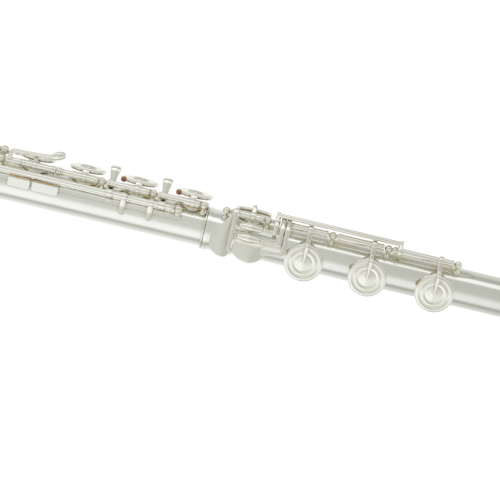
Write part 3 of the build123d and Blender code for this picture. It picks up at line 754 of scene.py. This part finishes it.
def make_side_lever():
    """The B flat side lever: a round bar beside the cups with an upturned, swollen touch."""
    body = "b_flat_side"
    rod = rod_of(body)
    skin = Skin()
    low, high = tube_span("b_flat_side_lever", body, HINGE_R)
    hinge_tube(skin, low, high, rod)
    side_y = -13.4
    path = [(-274.0, rod.y - 1.2, 12.0), (-273.9, side_y + 0.2, 14.4), (-272.6, side_y, 16.0), (-266.0,
                                                                                                side_y, 16.3),
            (-258.0, side_y, 16.7), (-253.8, side_y, 17.0), (-251.6, side_y, 17.6), (-249.7, side_y, 18.4),
            (-248.2, side_y, 19.0)]
    widths = [3.2, 2.6, 2.4, 2.5, 2.7, 3.2, 4.4, 5.2, 4.4]
    heights = [2.0, 2.1, 2.0, 1.9, 2.0, 2.5, 3.9, 4.7, 4.0]
    skin.sweep([Vector(p) for p in path], Y_AXIS, widths, heights, power=2.2)
    skin.piece("b_flat_side_lever_metal", body, "silver_keys", "b_flat_side_lever")


# ---------------------------------------------------------------- trill keys
TOUCH_PATH = [(-14.4, 5.8), (-11.6, 7.3), (-9.0, 9.1), (-7.4, 11.6), (-6.6, 15.0), (-6.1, 17.4), (-4.9, 19.2),
              (-2.2, 19.9), (0.6, 20.0)]
TOUCH_WIDTHS = [3.0, 3.0, 3.0, 3.0, 3.7, 5.0, 5.5, 5.2, 3.6]
TOUCH_HEIGHTS = [1.4, 1.2, 1.2, 1.3, 1.7, 2.1, 2.0, 1.6, 1.2]
KICKER_PATH = [(-14.2, 5.4), (-13.3, 3.0), (-12.4, 0.8), (-12.1, -1.4), (-11.95, -3.3)]


def make_trill_key(node, pads, touch_x, kicker_x, spans):
    body = BODY_OF[node]
    rod = rod_of(body)
    skin = Skin()
    for span in spans:
        hinge_tube(skin, *span, rod, TRILL_R, 0.85)
    path = [Vector((touch_x, y, z)) for y, z in TOUCH_PATH]
    skin.sweep(path, X_AXIS, TOUCH_WIDTHS, TOUCH_HEIGHTS, power=2.1, around=32)
    strip(KICKER_PATH, 2.8, [1.2, 1.0, 0.95, 0.95, 0.9], kicker_x)(skin, rod)
    eye(skin, touch_x, rod, 2.2, 2.0)
    eye(skin, kicker_x, rod, 1.95, 1.5)
    for place, pad_radius in discs(pads):
        draw_cup(skin, place, pad_radius)
        draw_pointed_arm(skin, place, pad_radius, rod, 2.6)
        eye(skin, place.translation.x, rod, 2.1, 1.5)
    skin.piece(node + "_metal", body, "silver_keys", node)
    pad_piece(pads + "_skin", pads)


def make_trill_keys():
    far_low, far_high = (v.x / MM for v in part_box("d_sharp_trill_key"))
    first = tube_span("d_trill_key", "d_trill", TRILL_R)
    make_trill_key("d_trill_key", "d_trill_pad", -220.5, -212.6, [first])
    make_trill_key("d_sharp_trill_key", "d_sharp_trill_pad", -193.0, -198.4,
                   [(far_low, first[0] - 0.2), (first[1] + 0.2, far_high)])


# ---------------------------------------------------------------- foot keys
SPATULA_OUTLINE = [
    (-154.4, 12.9), (-156.0, 12.2), (-157.6, 8.6), (-160.2, 5.0), (-163.4, 1.6), (-165.2, -2.4), (-165.3,
                                                                                                  -6.4),
    (-163.4, -10.2), (-160.0, -12.3), (-156.8, -12.5), (-154.6, -11.0), (-153.9, -6.0), (-153.9, 4.0),
]
PADDLE_OUTLINE = [
    (-152.4, -3.6), (-144.0, -3.4), (-136.6, -3.5), (-135.5, -5.6), (-138.6, -10.6), (-143.8, -12.8),
    (-149.4, -11.8), (-152.8, -8.4),
]


def spatula_y(z):
    """The D sharp touch leans out as it comes down, and bends in at the top."""
    return -14.9 - (10.4 - z) * 0.083 if z < 10.4 else -14.9 + (z - 10.4) * 0.1


def crown(u, v, half):
    """How far a touch's face falls back away from its middle."""
    return 0.35 * (u / half) ** 2 + 0.12 * ((v + 5) / 9) ** 2


def make_foot_d_sharp_key():
    def touch(skin, rod):
        outline = blend_points(SPATULA_OUTLINE, 4, closed=True)
        skin.plate(outline, lambda u, v, h: Vector((u, spatula_y(v) - h + crown(u + 159.6, v, 7.0), v)),
                   1.1, 0.45, 0.4)
        spine = [(rod.y, rod.z), (-14.4, 12.6), (-16.1, 9.6), (-16.8, 3.0), (-17.4, -4.0), (-17.6, -8.4)]
        strip(spine, [3.4, 3.0, 2.9, 2.7, 2.5, 1.8], [2.0, 2.0, 1.9, 1.8, 1.6, 1.2], -155.0)(skin, rod)
        eye(skin, -155.2, rod, EYE_R)
    key_piece("foot_d_sharp_key", "foot_d_sharp_pad", pointed=(0,), big_eye=True, extra=(touch,))
    pad_piece("foot_d_sharp_pad_skin", "foot_d_sharp_pad")


def roller_axle(lever_x, roller_node):
    """The pin through a roller, with a round head at its free end."""
    low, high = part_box(roller_node)
    middle = (low + high) / 2 / MM
    half = (high.x - low.x) / 2 / MM

    def draw(skin, rod):
        pin = soften([(0.0, -half - 1.0), (0.9, -half - 0.95), (1.3, -half - 0.6), (1.3, -half - 0.3), (0.7,
                                                                                                        -half - 0.25),
                      (0.7, half + 0.25), (1.3, half + 0.3), (1.35, half + 0.9), (1.2, half + 1.4)], 0.12)
        skin.lathe(along_x(middle.x, middle.y, middle.z), [*pin, (1.2, lever_x - middle.x), (0.0,
                                                                                             lever_x - middle.x)])
    return draw, middle


def make_foot_keys():
    b_pin, b_axle = roller_axle(-133.5, "foot_b_roller")
    c_pin, c_axle = roller_axle(-130.2, "foot_c_roller")
    bridge = (-12.8, 14.8)

    def lever_eye(x):
        return lambda skin, rod: eye(skin, x, rod, 2.9, 1.25)

    def bridge_bar(skin, rod):
        half = 33.35
        bar_profile = [(0.0, -half), (0.8, -half + 0.1), (1.15, -half + 0.6), (1.2, -half + 1.2), (1.2,
                                                                                                   half - 1.2),
                       (1.15, half - 0.6), (0.8, half - 0.1), (0.0, half)]
        skin.lathe(along_x(-101.35, *bridge), bar_profile, segments=32)
        for x in (-133.5, -69.2):
            legs = [(rod.y, rod.z), (-12.0, 13.0), (-12.7, 14.6), (-12.9, 15.7)]
            strip(legs, 2.4, [2.6, 2.4, 2.4, 1.6], x)(skin, rod)

    b_lever = strip([(-12.0, 12.4), (-14.0, 10.0), (-14.9, 7.6), (b_axle.y, b_axle.z)],
                    2.5, [2.2, 1.9, 1.8, 2.4], -133.5)
    key_piece("foot_b_key", "foot_b_pad", pointed=(0,), ringed=True, big_eye=True,
              extra=(lever_eye(-133.5), lever_eye(-69.2), bridge_bar, b_lever, b_pin))
    c_lever = strip([(-12.0, 12.8), (-14.2, 10.2), (-15.6, 7.6), (-16.4, 3.6), (c_axle.y, c_axle.z)],
                    2.5, [2.2, 1.9, 1.8, 1.8, 2.4], -130.2)
    key_piece("foot_c_key", "foot_c_pad", pointed=(0,), ringed=True, big_eye=True,
              extra=(lever_eye(-130.2), c_lever, c_pin, core_rod))
    paddle_lever = strip([(-12.0, 12.8), (-14.3, 10.2), (-15.8, 7.4), (-17.0, 0.8), (-17.7, -4.4)],
                         2.5, [2.2, 1.9, 1.8, 1.7, 1.6], -127.4)
    key_piece("foot_c_sharp_key", "foot_c_sharp_pad", pointed=(0,), ringed=True, big_eye=True,
              extra=(lever_eye(-127.4), paddle_lever, paddle))
    for name in ("foot_b", "foot_c", "foot_c_sharp"):
        pad_piece(name + "_pad_skin", name + "_pad")
    for node in ("foot_b_roller", "foot_c_roller"):
        make_roller(node)


def core_rod(skin, rod):
    """The rod of the C key, which runs on inside the C sharp key's tube."""
    low, high = -131.4, -101.0
    skin.lathe(along_x((low + high) / 2, rod.y, rod.z), [(0.0, (low - high) / 2), (1.0, (low - high) / 2),
                                                        (1.0, (high - low) / 2), (0.0, (high - low) / 2)])


def paddle(skin, rod):
    """The C sharp touch: a rounded blade and the arm that carries it."""
    outline = blend_points(PADDLE_OUTLINE, 4, closed=True)
    skin.plate(outline, lambda u, v, h: Vector((u, -17.8 - h + crown(u + 144.0, v - 3, 9.0), v)), 1.15, 0.4,
               0.4)
    arm = [(-127.4, -17.7, -4.7), (-131.0, -17.8, -4.9), (-135.0, -17.85, -5.2), (-139.0, -17.9, -5.6)]
    skin.sweep([Vector(p) for p in arm], Z_AXIS, [2.2, 2.4, 3.2, 4.4], [1.5, 1.4, 1.3, 1.1])


def make_roller(node):
    """A barrel roller, swollen in the middle, with a lip at each end."""
    low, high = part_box(node)
    middle = (low + high) / 2 / MM
    half, radius = (high.x - low.x) / 2 / MM, (high.z - low.z) / 2 / MM
    outside = [(radius * (0.55 + 0.45 * cos(k / 10 * pi / 2) ** 0.8), half * k / 10) for k in range(-10, 11)]
    outside = [(r, h) for r, h in outside if abs(h) < half * 0.95]
    lips = [(radius * 0.5, half), (radius * 0.56, half - 0.12), (radius * 0.57, half * 0.955)]
    profile = [(0.78, -half), *[(r, -h) for r, h in lips], *outside, *reversed(lips), (0.78, half)]
    skin = Skin()
    skin.lathe(along_x(middle.x, middle.y, middle.z), profile, loop=True, segments=72)
    skin.piece(node + "_barrel", BODY_OF[node], "silver_keys", node)


# ---------------------------------------------------------------- posts, springs
def post_profile(ball_height, radius, pointed, base):
    """A turned post from its flange on the strap, by a waist, to its ball."""
    profile = [(0.0, base - 0.9), (2.0, base - 0.9), (2.05, base + 0.25), (1.9, base + 0.55), (1.5,
                                                                                               base + 0.8)]
    neck = ball_height - radius * 0.86
    profile += [(1.2, base + 1.1), (1.02, (base + neck) / 2 + 0.4), (1.12, neck)]
    for k in range(1, 12):
        angle = -60 + k * 12
        profile.append((radius * cos(radians(angle)), ball_height + radius * sin(radians(angle))))
    if pointed:
        top = ball_height + radius
        profile += [(0.95, top - 0.1), (0.62, top + 0.5), (0.36, top + 1.0), (0.12, top + 1.35), (0.0,
                                                                                                  top + 1.42)]
    else:
        profile += [(radius * 0.12, ball_height + radius * 0.99), (0.0, ball_height + radius)]
    return soften(profile, 0.15, steps=2)


def make_posts(node, strap=10.8):
    """The posts of one strap, each turned from its flange by a waist to its ball, and pointed above the ball where it
    stands out past its rod.
    """
    body = BODY_OF[node]
    rods = [rod_of(child) for child,
            joint in JOINT_OF.items() if joint["parent"] == body and "pos_m" in joint]
    skin = Skin()
    for points in islands(node):
        low, high = points.min(0), points.max(0)
        middle = points.mean(0)
        out = Vector((0, middle[1], middle[2])).normalized()
        rod = max((r for r in rods if r.length > 12), key=lambda r: r.normalized().dot(out))
        radius = (high[0] - low[0]) / 2
        reach = np.hypot(points[:, 1], points[:, 2]).max()
        pointed = reach > rod.length + radius + 0.5
        direction = rod.normalized()
        place = Matrix.Translation(((low[0] + high[0]) / 2, 0, 0)) @ direction.to_track_quat("Z",
                                                                                             "X").to_matrix().to_4x4()
        skin.lathe(place, post_profile(rod.length, radius, pointed, strap), segments=48)
    return skin.piece(node + "_turned", body, "silver_posts", node)


def make_springs(node):
    """Needle springs: they taper, and bend a little towards the hook that they press."""
    skin = Skin()
    for points in islands(node):
        low, high = points.min(0), points.max(0)
        y, z = (low[1:] + high[1:]) / 2
        inward = Vector((0, y, z)).normalized() * 0.5
        thick = 0.5
        post_side = min((abs(x - end), end, sign) for x in post_places() for end, sign in ((low[0], 1),
                                                                                           (high[0], -1)))
        start, sign = Vector((post_side[1], y, z)), post_side[2]
        length = high[0] - low[0]
        path = [start + X_AXIS * sign * length * t - inward * t * t for t in (0.0, 0.25, 0.5, 0.75, 1.0)]
        skin.sweep(path, Z_AXIS, [thick, thick, thick * 0.85, thick * 0.7, thick * 0.5],
                   [thick, thick, thick * 0.85, thick * 0.7, thick * 0.5], power=2.0, around=12, steps=4)
    return skin.piece(node + "_needles", BODY_OF[node], "gold_spring", node)


def post_places():
    """Where the posts that hold springs stand along the flute."""
    return [(group[:, 0].min() + group[:, 0].max()) / 2 for node in ("main_posts",
                                                                     "foot_posts") for group in islands(node)]


# ---------------------------------------------------------------- tube fittings
GUARDS = [(-266.9, 11.4), (-253.2, 13.6)]


def make_guard_cork():
    """The cork strip along the top of the two plates below the trill rod."""
    skin = Skin()
    for x, width in GUARDS:
        path = [Vector((x + width * t, -12.25, 3.35)) for t in (-0.44, -0.2, 0.0, 0.2, 0.44)]
        skin.sweep(path, Y_AXIS, [1.5] * 5, [0.8] * 5, power=4)
    skin.piece("guard_cork", "body", "cork")


def beaded_ring(name, node, outer, beads):
    """A turned ring: beads side by side between square edges."""
    low, high = (v.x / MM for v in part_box(node))
    inner = 9.92
    skin = Skin()
    width = (high - low) / beads
    profile = [(inner, low)]
    for i in range(beads):
        for k in range(9):
            angle = pi * k / 8
            profile.append((outer - 0.42 * (1 - sin(angle)), low + width * (i + 0.5 - 0.47 * cos(angle))))
    profile.append((inner, high))
    skin.lathe(along_x(0, 0, 0), profile, loop=True, segments=128)
    skin.piece(name, BODY_OF[node], "silver_tube", node)


def make_barrel():
    """The barrel over the head's tenon, with a bead at each end and a line beside each bead."""
    low, high = (v.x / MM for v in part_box("barrel"))
    inner = 9.96
    bead = [(11.35, 0.0), (11.85, 0.25), (12.0, 0.75), (12.0, 1.5), (11.85, 2.05), (11.42, 2.3), (11.3,
                                                                                                  2.6), (11.42, 2.9)]
    profile = [(inner, low)]
    profile += [(r, low + h) for r, h in bead]
    profile += [(11.45, low + 6), (11.45, high - 6)]
    profile += [(r, high - h) for r, h in reversed(bead)]
    profile.append((inner, high))
    skin = Skin()
    skin.lathe(along_x(0, 0, 0), profile, loop=True, segments=128)
    skin.piece("barrel_sleeve", "body", "silver_tube", "barrel")


def make_crown():
    """The crown that closes the head: a turned rim and a stepped dome."""
    low, high = (v.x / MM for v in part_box("crown"))
    rim = high - 9.0
    dome = [(0.0, low), (2.6, low + 0.05), (4.4, low + 0.35), (5.6, low + 0.95), (6.1, low + 1.3), (7.4,
                                                                                                    low + 1.5),
            (8.6, low + 2.2), (9.2, low + 3.2), (9.45, low + 4.4), (9.3, low + 5.0), (9.1,
                                                                                      low + 5.4), (9.45,
                                                                                                   low + 5.8)]
    profile = [*blend_points(dome, 4), (9.45, rim - 0.3), (9.3, rim), (8.4, rim), (8.4, high - 0.4), (8.1,
                                                                                                      high), (1.7, high),
               (1.7, rim - 5.0), (0.0, rim - 5.0)]
    skin = Skin()
    skin.lathe(along_x(0, 0, 0), profile, segments=128)
    skin.piece("crown_cap", "crown", "silver_tube", "crown")


LIP_HALF = (30.6, 13.4)
LIP_HOLE_HALF = (6.1, 5.2)
LIP_R = 14.8
LIP_DROP = 3.6
LIP_STEPS = 96


def rounded_oblong(half_u, half_v, power, turn):
    c, d = cos(turn), sin(turn)
    return (math_sign(c) * abs(c) ** (2 / power) * half_u, math_sign(d) * abs(d) ** (2 / power) * half_v)


def make_lip_plate():
    """The lip plate: a shell curved over the head, rolled at its edge, with the embouchure hole and its riser."""
    low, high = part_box("lip_plate")
    centre_x = (low.x + high.x) / 2 / MM
    turns = [2 * pi * j / LIP_STEPS for j in range(LIP_STEPS)]
    rows = []
    for share, lift in [(1.0, -0.45), (1.0, 0.05), (0.985, 0.3), (0.95, 0.38), (0.85, 0.32), (0.7, 0.3),
                        (0.5, 0.3),
                        (0.3, 0.3), (0.12, 0.33), (0.04, 0.3), (0.0, 0.05)]:
        rows.append((share, LIP_R + lift))
    rows += [(0.0, 12.6), (0.0, 9.4), (-0.035, 9.4), (0.06, 12.2), (0.16, 14.1), (0.3, 14.5), (0.6, 14.45),
             (0.97, 14.4)]
    rings = []
    for share, radius in rows:
        ring = []
        for turn in turns:
            outer = rounded_oblong(*LIP_HALF, 2.0, turn)
            inner = rounded_oblong(*LIP_HOLE_HALF, 2.8, turn)
            u = inner[0] + (outer[0] - inner[0]) * share
            v = inner[1] + (outer[1] - inner[1]) * share
            lowered = radius - LIP_DROP * (abs(u) / LIP_HALF[0]) ** 2.4 * min(max(share, 0.0), 1.0)
            ring.append(Vector((centre_x + u, v, max(lowered * lowered - v * v, 0.04) ** 0.5)))
        rings.append(ring)
    skin = Skin()
    skin.loft(rings, loop=True)
    skin.piece("lip_plate_shell", "head", "silver_tube", "lip_plate")


def make_stopper():
    """The cork of the stopper, turned with rounded ends."""
    low, high = (v.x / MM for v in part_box("stopper_cork"))
    profile = [(0.0, low), (7.9, low), (8.4, low + 0.5), (8.45, (low + high) / 2), (8.4, high - 0.5), (7.9,
                                                                                                       high), (0.0, high)]
    skin = Skin()
    skin.lathe(along_x(0, 0, 0), soften(profile, 0.3), segments=96)
    skin.piece("stopper_cork_turned", "stopper", "cork", "stopper_cork")


def soften_edges(*names, width=0.12):
    """Rounds the edges of a CAD node, so that they catch the light as worn metal does."""
    for name in names:
        bevel = NODES[name].modifiers.new("edge", "BEVEL")
        bevel.width = width * MM
        bevel.segments = 3
        bevel.limit_method = "ANGLE"
        bevel.angle_limit = radians(40)
        bevel.harden_normals = True


# ---------------------------------------------------------------- stage and light
FLOOR_Z = -160.0 * MM
FLOOR_SIZE = 14.0
# How bright the studio is in each direction round the flute: degrees from straight in front of it
# towards the ceiling, and brightness there. Below it lies a dark gap between the white sweeps.
STUDIO_RING = [
    (-180, 0.95), (-140, 0.86), (-112, 0.68), (-98, 0.52), (-90, 0.5), (-80, 0.79), (-68, 0.99), (-50, 0.97),
    (-38, 0.92), (-27, 0.74), (-14, 0.65), (0, 0.64), (20, 0.62), (40, 0.64), (49, 1.12), (64, 1.14),
    (73, 0.58), (92, 0.5), (112, 0.72), (140, 0.82), (180, 0.95),
]
STUDIO_SIDES = [(-1.0, 0.92), (-0.12, 1.02), (-0.02, 1.0), (0.05, 0.9), (0.12, 0.84), (1.0, 0.92)]


def make_floor():
    data = bpy.data.meshes.new("floor")
    half = FLOOR_SIZE / 2
    corners = [(-half, -half, FLOOR_Z), (half, -half, FLOOR_Z), (half, half, FLOOR_Z), (-half, half, FLOOR_Z)]
    data.from_pydata(corners, [], [(0, 1, 2, 3)])
    floor = bpy.data.objects.new("floor", data)
    bpy.context.scene.collection.objects.link(floor)
    material, g = new_material("floor")
    g.link(g.ramp(g.noise(3, 2), [(0.3, 0.96), (0.7, 0.98)]), g.shader.inputs["Base Color"])
    g.shader.inputs["Roughness"].default_value = 0.9
    g.shader.inputs["Specular IOR Level"].default_value = 0.0
    data.materials.append(material)
    floor.visible_glossy = False


def make_world():
    """White studio: brightness follows the direction round the flute's axis, and a little along it."""
    world = bpy.data.worlds.new("studio")
    bpy.context.scene.world = world
    world.use_nodes = True
    tree = world.node_tree

    def add(kind, **settings):
        node = tree.nodes.new(kind)
        for key, value in settings.items():
            setattr(node, key, value)
        return node

    def math(operation, a, b, c=0.0):
        node = add("ShaderNodeMath", operation=operation)
        for socket, value in zip(node.inputs, (a, b, c)):
            if isinstance(value, (int, float)):
                socket.default_value = value
            else:
                tree.links.new(value, socket)
        return node.outputs[0]

    def ramp(source, stops):
        node = add("ShaderNodeValToRGB")
        while len(node.color_ramp.elements) < len(stops):
            node.color_ramp.elements.new(0.5)
        for element, (at, value) in zip(node.color_ramp.elements, stops):
            element.position = at
            element.color = (value, value, value * min(1.0, 0.86 + 0.14 * value), 1)
        tree.links.new(source, node.inputs["Fac"])
        return node.outputs["Color"]

    split = add("ShaderNodeSeparateXYZ")
    tree.links.new(add("ShaderNodeTexCoord").outputs["Generated"], split.inputs[0])
    turn = math("ARCTAN2", split.outputs["Z"], math("MULTIPLY", split.outputs["Y"], -1.0))
    ring = ramp(math("MULTIPLY_ADD", turn, 1 / (2 * pi), 0.5), [(a / 360 + 0.5, v) for a, v in STUDIO_RING])
    sides = ramp(math("MULTIPLY_ADD", split.outputs["X"], 0.5, 0.5), [(x / 2 + 0.5, v) for x,
                                                                      v in STUDIO_SIDES])
    glow = add("ShaderNodeMixRGB", blend_type="MULTIPLY")
    glow.inputs[0].default_value = 1.0
    tree.links.new(ring, glow.inputs[1])
    tree.links.new(sides, glow.inputs[2])
    tree.links.new(glow.outputs[0], tree.nodes["Background"].inputs["Color"])
    sweep = add("ShaderNodeBackground")
    sweep.inputs["Color"].default_value = (1.0, 1.0, 1.0, 1)
    sweep.inputs["Strength"].default_value = 1.05
    choose = add("ShaderNodeMixShader")
    tree.links.new(add("ShaderNodeLightPath").outputs["Is Camera Ray"], choose.inputs[0])
    tree.links.new(tree.nodes["Background"].outputs[0], choose.inputs[1])
    tree.links.new(sweep.outputs[0], choose.inputs[2])
    tree.links.new(choose.outputs[0], tree.nodes["World Output"].inputs["Surface"])


def area_light(name, place, target, size, watts):
    data = bpy.data.lights.new(name, "AREA")
    data.shape = "RECTANGLE"
    data.size, data.size_y = size
    data.energy = watts
    light = bpy.data.objects.new(name, data)
    bpy.context.scene.collection.objects.link(light)
    aim = Vector(target) - Vector(place)
    light.matrix_world = Matrix.Translation(place) @ aim.to_track_quat("-Z", "Y").to_matrix().to_4x4()
    light.visible_camera = False
    light.visible_glossy = False


def make_lights():
    area_light("ceiling", (-0.3, 1.0, 4.0), (-0.3, 1.0, 0), (12.0, 12.0), 420)


bpy.context.scene.view_settings.view_transform = "Standard"
make_camera()
make_world()
make_lights()
make_floor()
dress_frame()
make_finger_keys()
make_g_sharp_key()
make_thumb_keys()
make_c_key()
make_side_lever()
make_trill_keys()
make_foot_d_sharp_key()
make_foot_keys()
for posts in ("main_posts", "trill_posts", "offset_g_posts", "g_sharp_posts", "thumb_posts", "foot_posts"):
    make_posts(posts)
make_springs("body_springs")
make_springs("foot_springs")
make_guard_cork()
beaded_ring("body_end_beads", "body_end_ring", 11.2, 1)
beaded_ring("foot_end_beads", "foot_end_ring", 10.5, 2)
make_barrel()
make_crown()
make_lip_plate()
make_stopper()
soften_edges("foot_socket", "body_ribs", "foot_rib")
